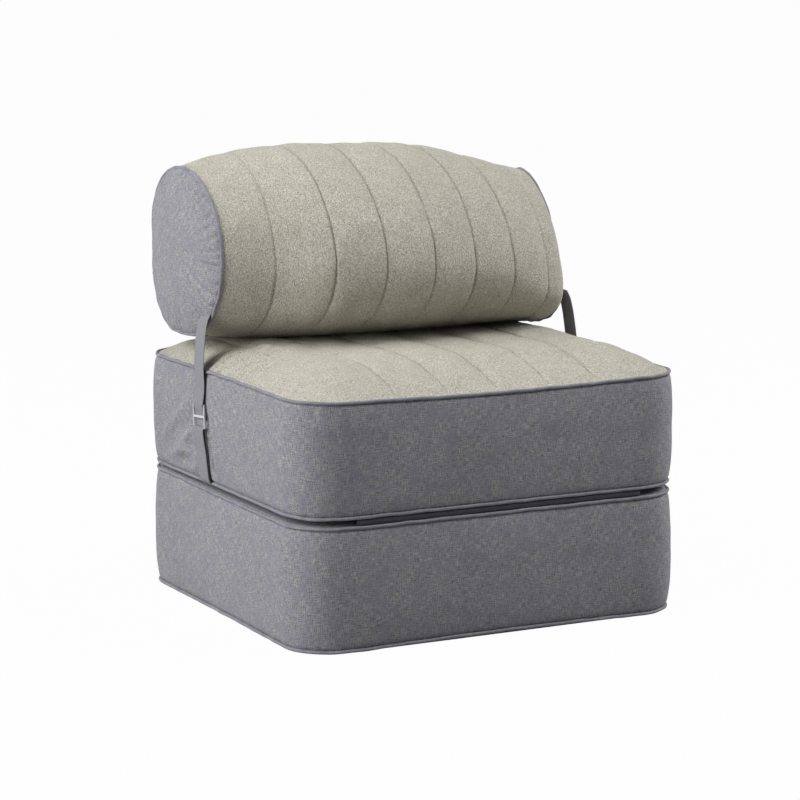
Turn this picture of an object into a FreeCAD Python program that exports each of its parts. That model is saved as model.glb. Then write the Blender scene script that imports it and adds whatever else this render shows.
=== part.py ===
import FreeCAD, Part
import math
import os
import Sketcher
from FreeCAD import Placement, Rotation, Vector

document = FreeCAD.newDocument("ChairBed")
sheet = document.addObject("Spreadsheet::Sheet", "Sizes")
parts = []


class Size:
    """A number together with the expression that ties it to the sheet."""

    def __init__(self, number, text):
        self.number = float(number)
        self.text = text

    def join(self, other, sign, number):
        return Size(number, "(" + self.text + sign + size_text(other) + ")")

    def __add__(self, other):
        return self.join(other, " + ", self.number + size_number(other))

    def __sub__(self, other):
        return self.join(other, " - ", self.number - size_number(other))

    def __mul__(self, other):
        return self.join(other, " * ", self.number * size_number(other))

    def __truediv__(self, other):
        return self.join(other, " / ", self.number / size_number(other))

    def __neg__(self):
        return Size(-self.number, "(0 - " + self.text + ")")


def size_number(value):
    return value.number if isinstance(value, Size) else float(value)


def size_text(value):
    return value.text if isinstance(value, Size) else repr(float(value))


def size(alias, number):
    """Writes one driving dimension into the sheet."""
    row = size.rows + 1
    size.rows = row
    sheet.set("A" + str(row), alias)
    sheet.set("B" + str(row), str(number))
    sheet.setAlias("B" + str(row), alias)
    return Size(number, "Sizes." + alias)


size.rows = 0

# Blocks, measured to the centres of their pipings
width = size("width", 700)
depth = size("depth", 655)
corner_radius = size("corner_radius", 80)
foot_height = size("foot_height", 4)
base_height = size("base_height", 204)
block_gap = size("block_gap", 12)
seat_height = size("seat_height", 186)
border_thickness = size("border_thickness", 4)
border_bulge = size("border_bulge", 8)
piping_radius = size("piping_radius", 2.7)
seam_fit = size("seam_fit", 0.05)
soft_gap = size("soft_gap", 0.3)
corner_slack = size("corner_slack", 0.4)
core_clear = size("core_clear", 0.8)
foot_panel_thickness = size("foot_panel_thickness", 3)
inner_panel_thickness = size("inner_panel_thickness", 2)
panel_plateau_inset = size("panel_plateau_inset", 75)
comfort_layer_thickness = size("comfort_layer_thickness", 20)
strip_length = size("strip_length", 520)
strip_thickness = size("strip_thickness", 1.2)

# Crowned and quilted seat top
channel_count = size("channel_count", 8)
channel_pitch = size("channel_pitch", 92)
channel_puff = size("channel_puff", 5.5)
crown_height = size("crown_height", 40)
crown_reach = size("crown_reach", 180)
crown_edge_rise = size("crown_edge_rise", 3.5)

# Backrest cushion
rest_length = size("rest_length", 674)
rest_channels = size("rest_channels", 8)
rest_puff = size("rest_puff", 6)
rest_height = size("rest_height", 312)
rest_end_thickness = size("rest_end_thickness", 289)
rest_swell = size("rest_swell", 98)
rest_inset_from_back = size("rest_inset_from_back", 26.5)
rest_left_fall = size("rest_left_fall", 31)
rest_right_fall = size("rest_right_fall", 63)
rest_left_lift = size("rest_left_lift", 5)
rest_right_drop = size("rest_right_drop", 15)
rest_top_depth = size("rest_top_depth", 181)
rest_nose_height = size("rest_nose_height", 128)
rest_nose_left_rise = size("rest_nose_left_rise", 15)
rest_nose_right_drop = size("rest_nose_right_drop", 76)
rest_back_drop = size("rest_back_drop", 101)
rest_back_rise = size("rest_back_rise", 110)
rest_sole_front = size("rest_sole_front", 256)
rest_sole_back = size("rest_sole_back", 96)
rest_ridge_left_shift = size("rest_ridge_left_shift", 57)
rest_ridge_right_shift = size("rest_ridge_right_shift", 30)
rest_sole_shift = size("rest_sole_shift", 120)
rest_wadding_inset = size("rest_wadding_inset", 16)
rest_wadding_thickness = size("rest_wadding_thickness", 20)
filling_front_inset = size("filling_front_inset", 32)
filling_nose_height = size("filling_nose_height", 110)
filling_shoulder_height = size("filling_shoulder_height", 142)
cap_bulge = size("cap_bulge", 20)
cap_draw_in = size("cap_draw_in", 0.62)

# Straps and buckles
strap_width = size("strap_width", 40)
strap_thickness = size("strap_thickness", 1.6)
strap_distance_from_front = size("strap_distance_from_front", 390)
strap_lean = size("strap_lean", 5)
strap_lap = size("strap_lap", 28)
buckle_width = size("buckle_width", 46)
buckle_height = size("buckle_height", 43)
buckle_thickness = size("buckle_thickness", 2.4)
buckle_bar = size("buckle_bar", 4)
buckle_side = size("buckle_side", 2.6)
buckle_corner = size("buckle_corner", 4)
buckle_below_seam = size("buckle_below_seam", 53)

# Zips
zip_corner_inset = size("zip_corner_inset", 70)
rest_zip_inset = size("rest_zip_inset", 57)
zip_tape_width = size("zip_tape_width", 28)
zip_tape_thickness = size("zip_tape_thickness", 0.8)
zip_coil_width = size("zip_coil_width", 5)
zip_coil_height = size("zip_coil_height", 1.4)
slider_length = size("slider_length", 12)
slider_width = size("slider_width", 9)
slider_thickness = size("slider_thickness", 2.2)
slider_taper = size("slider_taper", 0.6)
bridge_length = size("bridge_length", 8.4)
bridge_width = size("bridge_width", 2.4)
bridge_thickness = size("bridge_thickness", 1)
bridge_room = size("bridge_room", 2.4)
pull_length = size("pull_length", 26)
pull_width = size("pull_width", 8)
pull_thickness = size("pull_thickness", 1.4)
pull_end_bar = size("pull_end_bar", 1.4)
eye_width = size("eye_width", 3.6)
zip_above_sole = size("zip_above_sole", 130)
zip_fit = size("zip_fit", 0.1)

# Cloth hinge at the back
flap_length = size("flap_length", 480)
flap_thickness = size("flap_thickness", 1.2)
flap_reach = size("flap_reach", 36.5)
flap_climb = size("flap_climb", 20)
flap_bow = size("flap_bow", 12)

half_width = width / 2
half_depth = depth / 2
seat_bottom = base_height + block_gap
seat_top = seat_bottom + seat_height
seam_clear = piping_radius + seam_fit
rest_bottom = seat_top + crown_height + channel_puff + soft_gap

# Fineness of the rounded forms
facet_turn = 11.25
swell_fullness = 1.4
edge_puff_share = 0.35
piping_sides = 8
channel_steps = 4
bow_steps = 4
dome_steps = 4
crown_steps = 5


def new_body(name):
    body = document.addObject("PartDesign::Body", name)
    body.Label = name
    parts.append(body)
    return body


def new_sketch(body, role, offset=None):
    """Adds a sketch on one of the body's own planes, at a bound distance from it."""
    sketch = body.newObject("Sketcher::SketchObject", body.Name + "_sketch")
    plane = next(f for f in body.Origin.OriginFeatures if f.Role == role)
    sketch.AttachmentSupport = [(plane, "")]
    sketch.MapMode = "FlatFace"
    if offset is not None:
        sketch.setExpression("AttachmentOffset.Base.z", size_text(offset))
    return sketch


def bind(sketch, constraint, value):
    index = sketch.addConstraint(constraint)
    sketch.setExpression("Constraints[" + str(index) + "]", size_text(value))


def pin_vertex(sketch, edge, end, x, y):
    """Holds one end of an edge at a bound place."""
    if size_text(x) == "0.0":
        sketch.addConstraint(Sketcher.Constraint("PointOnObject", edge, end, -2))
    else:
        bind(sketch, Sketcher.Constraint("DistanceX", -1, 1, edge, end, size_number(x)), x)
    if size_text(y) == "0.0":
        sketch.addConstraint(Sketcher.Constraint("PointOnObject", edge, end, -1))
    else:
        bind(sketch, Sketcher.Constraint("DistanceY", -1, 1, edge, end, size_number(y)), y)


def arc_through(start, end, radius):
    """A shallow or quarter arc that bulges to the right of the way from start to end."""
    middle = (start + end) * 0.5
    way = end - start
    half = way.Length / 2
    height = math.sqrt(max(radius * radius - half * half, 0))
    right = Vector(way.y, -way.x, 0).normalize()
    centre = middle - right * height
    circle = Part.Circle(centre, Vector(0, 0, 1), radius)
    first = math.atan2(start.y - centre.y, start.x - centre.x)
    last = math.atan2(end.y - centre.y, end.x - centre.x)
    return Part.ArcOfCircle(circle, first, last)


def draw(sketch, corners, radii=None):
    """Closed outline, anticlockwise, whose edge n is an arc where radii names one for it."""
    radii = radii or {}
    count = len(corners)
    spots = [Vector(size_number(x), size_number(y), 0) for x, y in corners]
    edges = []
    for n in range(count):
        start = spots[n]
        end = spots[(n + 1) % count]
        if n in radii:
            edge = sketch.addGeometry(arc_through(start, end, radii[n].number), False)
        else:
            edge = sketch.addGeometry(Part.LineSegment(start, end), False)
        edges.append(edge)
    for n in range(count):
        sketch.addConstraint(Sketcher.Constraint("Coincident", edges[n], 2, edges[(n + 1) % count], 1))
    for n in range(count):
        pin_vertex(sketch, edges[n], 1, corners[n][0], corners[n][1])
    for n, radius in radii.items():
        bind(sketch, Sketcher.Constraint("Radius", edges[n], radius.number), radius)


def draw_rounded_box(sketch, half_x, half_y, radius):
    """Rounded rectangle about the origin that starts in the middle of its front side."""
    flat_x = half_x - radius
    flat_y = half_y - radius
    corners = [
        (0, -half_y),
        (flat_x, -half_y),
        (half_x, -flat_y),
        (half_x, flat_y),
        (flat_x, half_y),
        (-flat_x, half_y),
        (-half_x, flat_y),
        (-half_x, -flat_y),
        (-flat_x, -half_y),
    ]
    draw(sketch, corners, {1: radius, 3: radius, 5: radius, 7: radius})


def pad(body, sketch, length, backwards=False, midplane=False):
    feature = body.newObject("PartDesign::Pad", body.Name + "_pad")
    feature.Profile = sketch
    feature.Length = size_number(length)
    feature.setExpression("Length", size_text(length))
    feature.Reversed = backwards
    feature.Midplane = midplane
    body.Tip = feature
    return feature


def bulge_radius(chord, bulge):
    return (chord * chord / 4 + bulge * bulge) / (bulge * 2)


def facet(edges):
    """Points along an outline: lines keep their ends and arcs are cut into short chords."""
    spots = []
    for edge in edges:
        turn = 0
        if isinstance(edge.Curve, Part.Circle):
            turn = math.degrees(edge.LastParameter - edge.FirstParameter)
        chords = max(1, math.ceil(turn / facet_turn - 0.001))
        spots += edge.discretize(chords + 1)[:-1]
    return spots


def add_ring(name, route, up, section):
    """Closed band: a section of outward and upward steps stands, mitred, on each point of a route."""
    wires = []
    for before, spot, after in zip(route[-1:] + route[:-1], route, route[1:] + route[:1]):
        way_in = (spot - before).normalize()
        way_out = (after - spot).normalize()
        way = (way_in + way_out).normalize()
        outwards = way.cross(up) * (1 / way.dot(way_in))
        spots = [spot + outwards * out + up * rise for out, rise in section]
        wires.append(Part.makePolygon(spots + spots[:1]))
    add_shape(name, Part.makeLoft(wires, True, True, True))


def piping_section():
    """Cord as a many-sided round, centred on its seam."""
    turns = [2 * math.pi * (n + 0.5) / piping_sides for n in range(piping_sides)]
    return [(piping_radius.number * math.cos(t), piping_radius.number * math.sin(t)) for t in turns]


def add_border(name, low, high):
    """Side band between two pipings, bowed outwards all the way round."""
    bottom = (low + seam_clear).number
    tall = (high - low - seam_clear * 2).number
    section = [(-border_thickness.number, 0)]
    for n in range(bow_steps + 1):
        climb = 2 * n / bow_steps - 1
        section.append((border_bulge.number * (1 - climb ** 2), tall * (climb + 1) / 2))
    section.append((-border_thickness.number, tall))
    add_ring(name, facet(rounded_edges(0, bottom)), Vector(0, 0, 1), section)


def add_piping(name, height):
    """Round cord sewn into the seam at one height of a block."""
    add_ring(name, facet(rounded_edges(0, height.number)), Vector(0, 0, 1), piping_section())


def add_slab(name, low, high, inset):
    """Flat rounded slab inside the outline of the blocks."""
    body = new_body(name)
    outline = new_sketch(body, "XY_Plane", low)
    draw_rounded_box(outline, half_width - inset, half_depth - inset, corner_radius - inset)
    pad(body, outline, high - low if size_number(low) else high)


def add_shape(name, shape):
    feature = document.addObject("Part::Feature", name)
    feature.Label = name
    feature.Shape = shape
    feature.Placement = Placement()
    parts.append(feature)
    return feature


def rounded_edges(inset, height):
    """Outline of the blocks at one height, drawn in by an inset, its corners about one axis."""
    half_x = half_width.number - inset
    half_y = half_depth.number - inset
    radius = corner_radius.number - inset
    turn = radius * (1 - math.sqrt(0.5))
    edges = []
    last = Vector(-half_x + radius, -half_y, height)
    for x, y in ((1, -1), (1, 1), (-1, 1), (-1, -1)):
        corner = Vector(x * half_x, y * half_y, height)
        along_x = corner - Vector(x * radius, 0, 0)
        along_y = corner - Vector(0, y * radius, 0)
        first, second = (along_x, along_y) if x * y < 0 else (along_y, along_x)
        middle = corner - Vector(x * turn, y * turn, 0)
        edges.append(Part.LineSegment(last, first).toShape())
        edges.append(Part.Arc(first, middle, second).toShape())
        last = second
    return edges


def rounded_wire(inset, height):
    return Part.Wire(rounded_edges(inset, height))


def add_crowned_panel(name, height, way):
    """Padded inner panel: a thin edge that slopes up to the face the blocks meet on."""
    inset = (seam_clear + corner_slack).number
    half_thickness = inner_panel_thickness.number / 2
    rise = (block_gap.number - soft_gap.number) / 2
    levels = [
        (inset, -half_thickness),
        (inset, half_thickness),
        (panel_plateau_inset.number, rise),
    ]
    wires = [rounded_wire(edge, height.number + way * level) for edge, level in levels]
    add_shape(name, Part.makeLoft(wires, True, True))


def crown(distance):
    """Share of the full crown at a distance from the edge."""
    away = min(max(distance, 0), crown_reach.number)
    return 1 - (1 - away / crown_reach.number) ** 2


def quilted_section(y):
    """Section across the seat at one depth: a flat sole and one arc over each channel."""
    base = seat_top.number - inner_panel_thickness.number / 2
    half_x = half_width.number
    deep = crown(half_depth.number - abs(y))
    count = int(round(channel_count.number))
    lines = [(n - count / 2) * channel_pitch.number for n in range(1, count)]
    marks = [-half_x] + lines + [half_x]

    def height(x):
        rise = crown(half_x - abs(x)) * deep
        return seat_top.number + crown_edge_rise.number + (crown_height.number - crown_edge_rise.number) * rise

    puff = channel_puff.number * (edge_puff_share + (1 - edge_puff_share) * deep)
    edges = []
    for left, right in zip(marks, marks[1:]):
        middle = (left + right) / 2
        fullness = (height(left) + height(right)) / 2
        top = max(height(middle), fullness) + puff
        first = Vector(left, y, height(left))
        last = Vector(right, y, height(right))
        edges.append(Part.Arc(first, Vector(middle, y, top), last).toShape())
    left_foot = Vector(-half_x, y, base)
    right_foot = Vector(half_x, y, base)
    edges.append(Part.LineSegment(Vector(half_x, y, height(half_x)), right_foot).toShape())
    edges.append(Part.LineSegment(right_foot, left_foot).toShape())
    edges.append(Part.LineSegment(left_foot, Vector(-half_x, y, height(-half_x))).toShape())
    return Part.Wire(edges)


def add_quilted_top():
    """Plush seat top: channels that run front to back, trimmed by the rounded outline."""
    reach = crown_reach.number
    half_y = half_depth.number
    steps = [reach * (n / crown_steps) ** 2 for n in range(crown_steps + 1)]
    front = [-half_y + step for step in steps]
    back = [half_y - step for step in reversed(steps)]
    block = Part.makeLoft([quilted_section(y) for y in front + back], True, True)
    low = seat_top.number - inner_panel_thickness.number / 2
    outline = Part.Face(rounded_wire((seam_clear + corner_slack).number, low))
    trim = outline.extrude(Vector(0, 0, crown_height.number * 2))
    add_shape("seat_quilted_top", block.common(trim))


def quadrant(start, end, centre):
    """Two tangent arcs that turn a quarter of an oval from start to end about its centre."""
    to_start = start - centre
    to_end = end - centre
    a = to_start.Length
    b = to_end.Length
    c = math.hypot(a, b)
    radius_start = c * (c - a + b) / (2 * a)
    radius_end = c * (c + a - b) / (2 * b)
    way_start = Vector(to_start).normalize()
    way_end = Vector(to_end).normalize()
    centre_start = start - way_start * radius_start
    centre_end = end - way_end * radius_end
    if abs(a - b) < 0.001:
        joint = centre + (way_start + way_end).normalize() * a
    elif a > b:
        joint = centre_start + (centre_start - centre_end).normalize() * radius_start
    else:
        joint = centre_end + (centre_end - centre_start).normalize() * radius_end

    def arc(first, last, middle, radius):
        half_way = ((first - middle).normalize() + (last - middle).normalize()).normalize()
        return Part.Arc(first, middle + half_way * radius, last).toShape()

    return [
        arc(start, joint, centre_start, radius_start),
        arc(joint, end, centre_end, radius_end),
    ]


def rest_edges(share, puff=0, x=None):
    """Outline of the backrest at a share of its half length, from -1 at the left to 1 at the right."""
    left = max(-share, 0)
    right = max(share, 0)
    swell = 1 - (1 - (1 + math.cos(math.pi * share)) / 2) ** swell_fullness
    late = max(right - 0.5, 0) * 2
    back = half_depth.number - rest_inset_from_back.number
    sole = rest_bottom.number + rest_left_lift.number * left ** 2 - rest_right_drop.number * late ** 2
    top = rest_bottom.number + rest_height.number
    top -= rest_left_fall.number * left ** 2 + rest_right_fall.number * right ** 2
    front = back - rest_end_thickness.number - rest_swell.number * swell
    nose = rest_bottom.number + rest_nose_height.number
    nose += rest_nose_left_rise.number * left ** 2 - rest_nose_right_drop.number * right ** 2
    ridge_y = back - rest_top_depth.number
    ridge_y += rest_ridge_left_shift.number * left ** 2 + rest_ridge_right_shift.number * right ** 2
    sole_front = back - rest_sole_front.number + rest_sole_shift.number * share ** 2
    sole_back = back - rest_sole_back.number
    back_high = top - rest_back_drop.number
    back_low = rest_bottom.number + rest_back_rise.number
    front -= puff
    top += puff
    if x is None:
        x = share * rest_length.number / 2
    nose_spot = Vector(x, front, nose)
    sole_first = Vector(x, sole_front, sole)
    sole_last = Vector(x, sole_back, sole)
    back_first = Vector(x, back, back_low)
    back_last = Vector(x, back, back_high)
    ridge = Vector(x, ridge_y, top)
    edges = quadrant(nose_spot, sole_first, Vector(x, sole_front, nose))
    edges.append(Part.LineSegment(sole_first, sole_last).toShape())
    edges += quadrant(sole_last, back_first, Vector(x, sole_back, back_low))
    edges.append(Part.LineSegment(back_first, back_last).toShape())
    edges += quadrant(back_last, ridge, Vector(x, ridge_y, back_high))
    edges += quadrant(ridge, nose_spot, Vector(x, ridge_y, nose))
    return edges


def rest_filling_wire(inset, x):
    """Outline of the straight filling, which fits inside both ends of the backrest."""
    cover_back = half_depth.number - rest_inset_from_back.number
    back = cover_back - rest_wadding_inset.number - inset
    front = cover_back - rest_end_thickness.number + filling_front_inset.number + inset
    sole = rest_bottom.number + rest_left_lift.number + rest_wadding_inset.number + inset
    top = rest_bottom.number + rest_height.number - rest_right_fall.number - rest_wadding_inset.number - inset
    nose = rest_bottom.number + filling_nose_height.number
    shoulder = rest_bottom.number + filling_shoulder_height.number
    middle = (front + back) / 2
    heel = cover_back - rest_sole_back.number
    nose_spot = Vector(x, front, nose)
    sole_first = Vector(x, middle, sole)
    sole_last = Vector(x, heel, sole)
    back_first = Vector(x, back, nose)
    back_last = Vector(x, back, shoulder)
    ridge = Vector(x, middle, top)
    edges = quadrant(nose_spot, sole_first, Vector(x, middle, nose))
    edges.append(Part.LineSegment(sole_first, sole_last).toShape())
    edges += quadrant(sole_last, back_first, Vector(x, heel, nose))
    edges.append(Part.LineSegment(back_first, back_last).toShape())
    edges += quadrant(back_last, ridge, Vector(x, middle, shoulder))
    edges += quadrant(ridge, nose_spot, Vector(x, middle, nose))
    return Part.Wire(edges)


def add_backrest_cover(half_x):
    """Quilted cover: each channel swells between two stitch lines, around a straight hollow."""
    count = int(round(rest_channels.number))
    half = rest_length.number / 2
    pitch = rest_length.number / count
    puff = rest_puff.number / 2
    wires = []
    for n in range(count * channel_steps + 1):
        across = (n % channel_steps) / channel_steps
        fullness = 1 - 2 * (2 * across - 1) ** 2
        x = min(max(-half + n * pitch / channel_steps, -half_x), half_x)
        wires.append(Part.Wire(rest_edges(x / half, puff * fullness, x)))
    shape = Part.makeLoft(wires, True, True)
    hollow = Part.Face(rest_filling_wire(0, -half_x))
    shape = shape.cut(hollow.extrude(Vector(2 * half_x, 0, 0)))
    add_shape("backrest_cover", shape)


def add_filling(name, inset, hollow_inset, half_x):
    solid = Part.Face(rest_filling_wire(inset, -half_x)).extrude(Vector(2 * half_x, 0, 0))
    if hollow_inset is not None:
        hollow = Part.Face(rest_filling_wire(hollow_inset, -half_x))
        solid = solid.cut(hollow.extrude(Vector(2 * half_x, 0, 0)))
    add_shape(name, solid)


def add_end_cap(name, side):
    """Woven end of the backrest, domed outwards from its seam."""
    seam = side * (rest_length.number / 2 + seam_clear.number)
    dome = cap_bulge.number
    spots = facet(rest_edges(side, 0, seam))
    middle = Part.makePolygon(spots).BoundBox.Center
    rings = []
    for n in range(dome_steps + 1):
        slope = math.pi / 2 * n / dome_steps
        share = 1 - cap_draw_in.number * (1 - math.cos(slope))
        away = Vector(side * dome * math.sin(slope), 0, 0)
        ring = [middle + (spot - middle) * share + away for spot in spots]
        rings.append(ring + ring[:1])
    faces = [Part.Face(Part.makePolygon(rings[0])), Part.Face(Part.makePolygon(rings[-1]))]
    for low, high in zip(rings, rings[1:]):
        for n in range(len(spots)):
            around = [low[n], low[n + 1], high[n + 1], high[n], low[n]]
            faces.append(Part.Face(Part.makePolygon(around)))
    shell = Part.Shell(faces)
    shell.sewShape()
    add_shape(name, Part.Solid(shell))


def add_cap_piping(name, side):
    add_ring(name, facet(rest_edges(side)), Vector(1, 0, 0), piping_section())


def border_face(height):
    """How far a block's side stands out at one height of the seat block."""
    radius = bulge_radius(seat_height - seam_clear * 2, border_bulge).number
    off_middle = height - seat_bottom.number - seat_height.number / 2
    swell = math.sqrt(max(radius ** 2 - off_middle ** 2, 0)) - (radius - border_bulge.number)
    return half_width.number + max(swell, 0)


def add_straps(word, side):
    """Upper strap, lower strap and three-bar buckle on one side of the seat block."""
    cap = document.getObject(word + "_end_cap")
    thickness = strap_thickness.number
    gap = soft_gap.number
    top = seat_top.number - buckle_below_seam.number
    low = top - buckle_height.number
    bar = buckle_bar.number
    middle = (top + low) / 2
    strap_y = strap_distance_from_front.number - half_depth.number
    lean = Placement(Vector(), Rotation(Vector(1, 0, 0), -strap_lean.number), Vector(0, strap_y, seat_top.number))
    behind = border_face(middle) + gap
    buckle_face = behind + thickness + gap
    front = buckle_face + buckle_thickness.number + gap
    seam_x = half_width.number + piping_radius.number + gap

    def loop(outline):
        edge_y = strap_y - strap_width.number / 2
        spots = [lean.multVec(Vector(side * x, edge_y, z)) for x, z in outline]
        return Part.Face(Part.makePolygon(spots + spots[:1]))

    def ribbon(outline, holes=()):
        face = loop(outline)
        for hole in holes:
            face = face.cut(loop(hole))
        return face.extrude(lean.Rotation.multVec(Vector(0, strap_width.number, 0)))

    end_x = rest_length.number / 2 + seam_clear.number + gap
    seat_z = seat_top.number
    rest_z = rest_bottom.number - rest_right_drop.number + rest_nose_height.number / 2
    shoulder_z = seat_z - buckle_below_seam.number / 2
    inner = [
        (end_x, rest_z),
        (seam_x, seat_z + piping_radius.number),
        (seam_x, seat_z - piping_radius.number),
        (border_face(shoulder_z) + gap, shoulder_z),
        (front, top + gap * 2),
        (front, top - bar - gap),
        (behind, middle + bar / 2 + gap),
        (behind, middle - bar),
    ]
    outer = [(x + thickness, z) for x, z in reversed(inner)]
    upper = ribbon(inner + outer)
    end = cap.Shape.copy()
    ring = document.getObject(word + "_cap_piping").Shape
    upper = upper.cut(end).cut(ring)
    pieces = sorted(upper.Solids, key=lambda solid: solid.BoundBox.ZMin)
    add_shape(word + "_upper_strap", pieces[0])

    foot = seat_bottom.number + piping_radius.number + gap
    loop_top = low + bar + gap + thickness
    lap = low - strap_lap.number
    slope_z = (foot + lap) / 2
    outline = [
        (seam_x, foot),
        (seam_x + thickness, foot),
        (border_face(slope_z) + gap + thickness, slope_z),
        (behind + thickness, lap - thickness * 3),
        (front + thickness, low - bar),
        (front + thickness, loop_top),
        (behind, loop_top),
        (behind, lap),
        (border_face(slope_z) + gap, slope_z),
    ]
    hole = [
        (behind + thickness, low - gap),
        (front, low - gap),
        (front, low + bar + gap),
        (behind + thickness, low + bar + gap),
    ]
    add_shape(word + "_lower_strap", ribbon(outline, [hole]))

    body = new_body(word + "_buckle")
    half_y = buckle_width / 2
    half_z = buckle_height / 2
    window_y = half_y - buckle_side
    window_low = buckle_bar / 2
    window_high = half_z - buckle_bar
    frame = new_sketch(body, "YZ_Plane")
    flat_y = half_y - buckle_corner
    flat_z = half_z - buckle_corner
    rim = [(-flat_y, -half_z), (flat_y, -half_z), (half_y, -flat_z), (half_y, flat_z)]
    rim += [(flat_y, half_z), (-flat_y, half_z), (-half_y, flat_z), (-half_y, -flat_z)]
    draw(frame, rim, {1: buckle_corner, 3: buckle_corner, 5: buckle_corner, 7: buckle_corner})
    for sign in (1, -1):
        if sign > 0:
            window = [(-window_y, window_low), (window_y, window_low), (window_y, window_high)]
            window += [(-window_y, window_high)]
        else:
            window = [(-window_y, -window_high), (window_y, -window_high), (window_y, -window_low)]
            window += [(-window_y, -window_low)]
        draw(frame, window)
    pad(body, frame, buckle_thickness, midplane=True)
    centre = Vector(side * (buckle_face + buckle_thickness.number / 2), strap_y, middle)
    body.Placement = lean.multiply(Placement(centre, Rotation()))


def add_zip(prefix, face_y, height, half_length):
    """Zip along the back of one cover: tape with its coil, slider with its bridge, and pull."""
    tape = new_body(prefix + "_zip_tape")
    ground = face_y + soft_gap
    outline = new_sketch(tape, "XZ_Plane", -ground)
    half_tape = zip_tape_width / 2
    corners = [
        (-half_length, height - half_tape),
        (half_length, height - half_tape),
        (half_length, height + half_tape),
        (-half_length, height + half_tape),
    ]
    draw(outline, corners)
    pad(tape, outline, zip_tape_thickness, backwards=True)
    coil = new_sketch(tape, "XZ_Plane", -(ground + zip_tape_thickness))
    half_coil = zip_coil_width / 2
    coil_end = half_length - half_tape
    corners = [
        (-coil_end, height - half_coil),
        (coil_end, height - half_coil),
        (coil_end, height + half_coil),
        (-coil_end, height + half_coil),
    ]
    draw(coil, corners)
    pad(tape, coil, zip_coil_height, backwards=True)

    slider = new_body(prefix + "_zip_slider")
    base = ground + zip_tape_thickness + zip_coil_height + zip_fit
    plate = new_sketch(slider, "XZ_Plane", -base)
    start = coil_end - slider_length
    nose = slider_width / 4
    shoulder = start + slider_length * slider_taper
    half_slider = slider_width / 2
    corners = [
        (start, height - nose),
        (shoulder, height - half_slider),
        (start + slider_length, height - half_slider),
        (start + slider_length, height + half_slider),
        (shoulder, height + half_slider),
        (start, height + nose),
    ]
    draw(plate, corners)
    pad(slider, plate, slider_thickness, backwards=True)
    middle = start + slider_length / 2
    top = base + slider_thickness
    arch = new_sketch(slider, "XY_Plane", height - bridge_width / 2)
    half_bridge = bridge_length / 2
    inner = half_bridge - bridge_thickness
    corners = [
        (middle - half_bridge, top - bridge_thickness),
        (middle - inner, top - bridge_thickness),
        (middle - inner, top + bridge_room),
        (middle + inner, top + bridge_room),
        (middle + inner, top - bridge_thickness),
        (middle + half_bridge, top - bridge_thickness),
        (middle + half_bridge, top + bridge_room + bridge_thickness),
        (middle - half_bridge, top + bridge_room + bridge_thickness),
    ]
    draw(arch, corners)
    pad(slider, arch, bridge_width)

    pull = new_body(prefix + "_zip_pull")
    half_thick = pull_thickness / 2
    leaf = new_sketch(pull, "XZ_Plane", -(top + bridge_room / 2 - half_thick))
    half_pull = pull_width / 2
    tail = middle - pull_length
    head = middle + pull_end_bar / 2
    corners = [
        (tail + half_pull, height - half_pull),
        (head, height - half_pull),
        (head, height + half_pull),
        (tail + half_pull, height + half_pull),
        (tail, height + half_pull / 2),
        (tail, height - half_pull / 2),
    ]
    draw(leaf, corners)
    eye_end = half_bridge + bridge_thickness + zip_fit
    half_eye = eye_width / 2
    corners = [
        (middle - eye_end, height - half_eye),
        (middle - pull_end_bar / 2, height - half_eye),
        (middle - pull_end_bar / 2, height + half_eye),
        (middle - eye_end, height + half_eye),
    ]
    draw(leaf, corners)
    pad(pull, leaf, pull_thickness, backwards=True)


def add_fold_strip():
    """Woven strip that hinges the seat block to the base along the front."""
    body = new_body("fold_strip")
    section = new_sketch(body, "YZ_Plane")
    inner = strip_thickness / 2 - half_depth
    outer = -half_depth - strip_thickness / 2
    low = base_height + piping_radius + seam_fit
    high = seat_bottom - piping_radius - seam_fit
    draw(section, [(outer, low), (inner, low), (inner, high), (outer, high)])
    pad(body, section, strip_length, midplane=True)


def add_back_flap():
    """Cloth hinge from the seat block's back seam up to the underside of the backrest."""
    thickness = flap_thickness.number
    seam_y = half_depth.number + piping_radius.number + soft_gap.number
    back = half_depth.number - rest_inset_from_back.number
    foot = Vector(0, seam_y, seat_top.number - piping_radius.number * 2)
    turn = Vector(0, seam_y, seat_top.number + piping_radius.number * 3)
    head = Vector(0, back - flap_reach.number, rest_bottom.number + flap_climb.number)
    bow = Vector(0, seam_y - flap_bow.number, (turn.z + head.z) / 2)
    shift = Vector(0, thickness, thickness) * math.sqrt(0.5)
    inner = [foot, turn, bow, head]
    outer = [spot + shift for spot in reversed(inner)]
    outline = Part.Face(Part.makePolygon(inner + outer + inner[:1]))
    half = Vector(-flap_length.number / 2, 0, 0)
    outline.translate(half)
    add_shape("back_flap", outline.extrude(half * -2))


def build_base():
    add_slab("base_bottom_panel", 0, foot_panel_thickness, seam_clear + corner_slack)
    add_piping("base_bottom_piping", foot_height)
    add_border("base_border", foot_height, base_height)
    add_piping("base_top_piping", base_height)
    add_crowned_panel("base_top_panel", base_height, 1)
    low = foot_panel_thickness + soft_gap
    high = base_height - inner_panel_thickness / 2 - soft_gap
    add_slab("base_foam_core", low, high, border_thickness + core_clear)
    middle = (foot_height + base_height) / 2
    add_zip("base", half_depth + border_bulge, middle, half_width - zip_corner_inset)


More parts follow.
